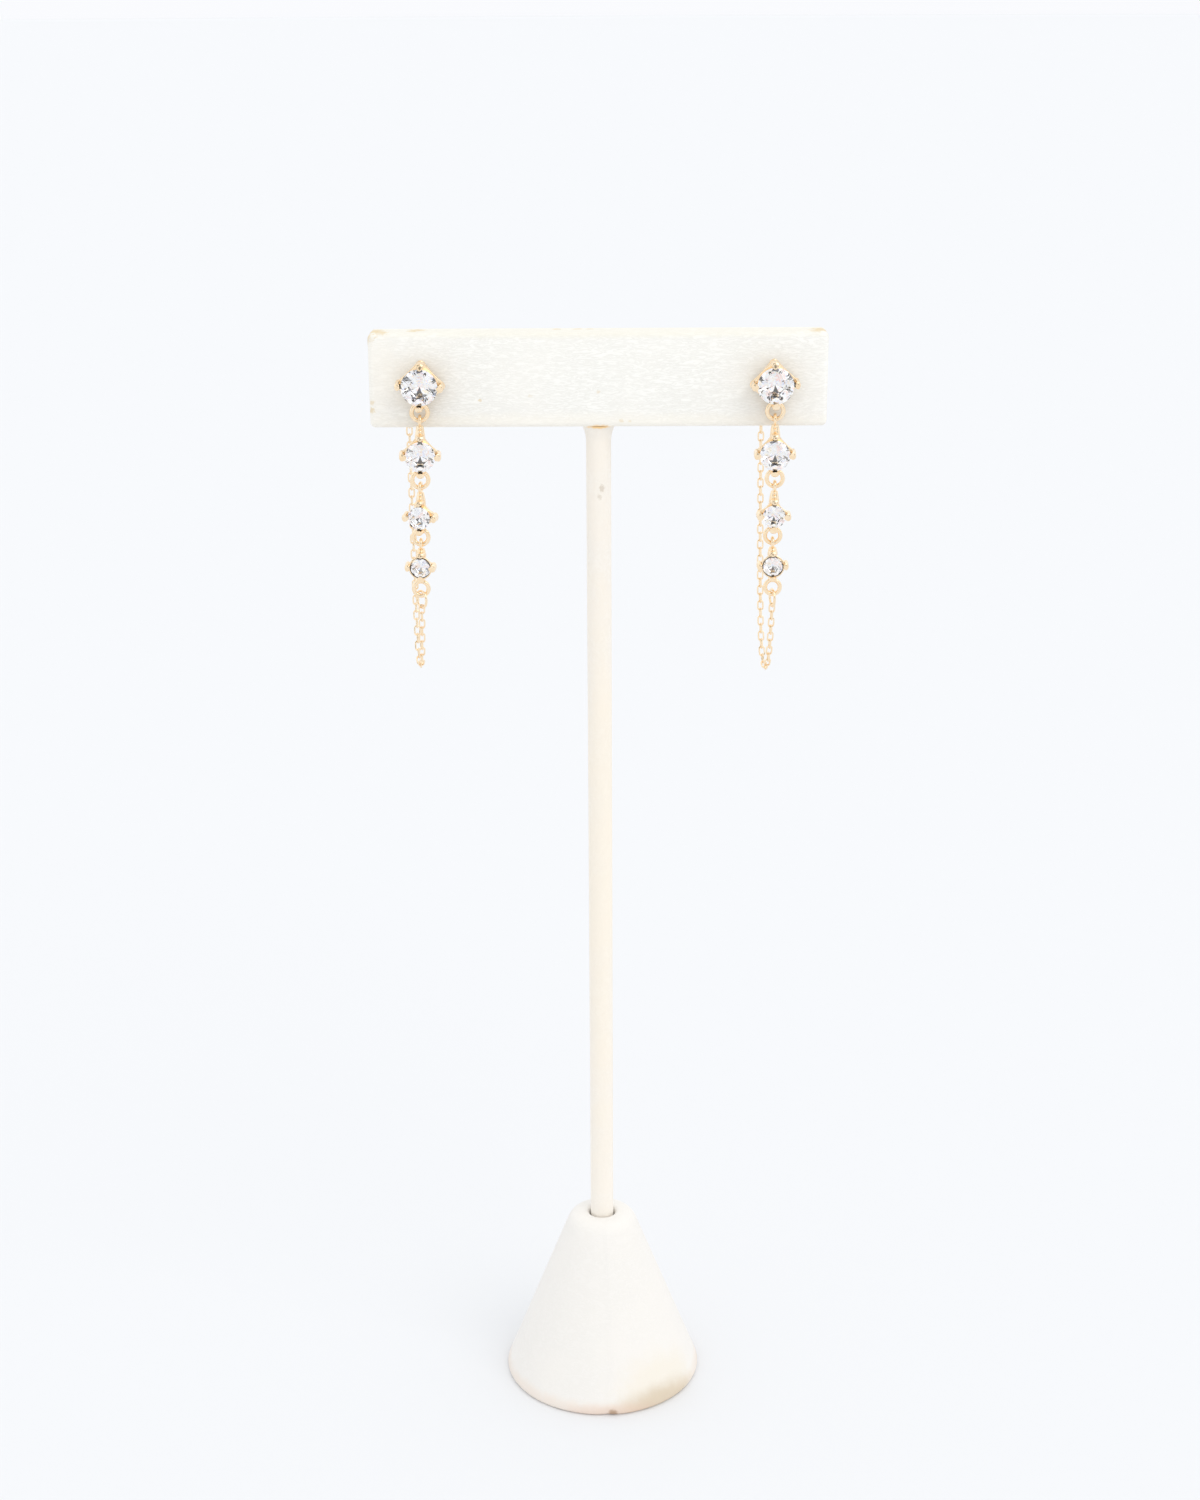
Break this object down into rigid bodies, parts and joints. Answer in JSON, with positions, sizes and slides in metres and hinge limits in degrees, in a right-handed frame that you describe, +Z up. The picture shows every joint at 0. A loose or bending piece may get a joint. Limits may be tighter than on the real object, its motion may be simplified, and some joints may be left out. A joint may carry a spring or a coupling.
{
  "type": "pair of dangle earrings on t-bar earring stand",
  "caption": "Pair of linked crystal drop earrings with a fine chain from front to back, pinned on a covered T-bar display stand with a cone base.",
  "frame": {"origin": "centre of the stand's round foot, on the surface that it stands on", "axes": "+Z up along the post, +X to the viewer's right along the bar, front faces -Y"},
  "size_m": [0.0756, 0.0362, 0.1966],
  "materials": {
    "leatherette": "cream grained leatherette, satin, worn at the corners and the foot",
    "post_wrap": "cream leatherette wrap, a little yellowed",
    "gold": "polished pale gold plating",
    "crystal": "clear faceted stones, foiled behind"
  },
  "bodies": {
    "root": {"stand_base": "leatherette", "stand_post": "post_wrap", "stand_bar": "leatherette", "left_stud_setting": "gold", "left_stud_stone": "crystal", "left_upper_setting": "gold", "left_upper_stone": "crystal", "left_middle_setting": "gold", "left_middle_stone": "crystal", "left_lower_setting": "gold", "left_lower_stone": "crystal", "left_jump_ring": "gold", "left_chain": "gold", "left_ear_nut": "gold", "right_stud_setting": "gold", "right_stud_stone": "crystal", "right_upper_setting": "gold", "right_upper_stone": "crystal", "right_middle_setting": "gold", "right_middle_stone": "crystal", "right_lower_setting": "gold", "right_lower_stone": "crystal", "right_jump_ring": "gold", "right_chain": "gold", "right_ear_nut": "gold"}
  },
  "joints": []
}
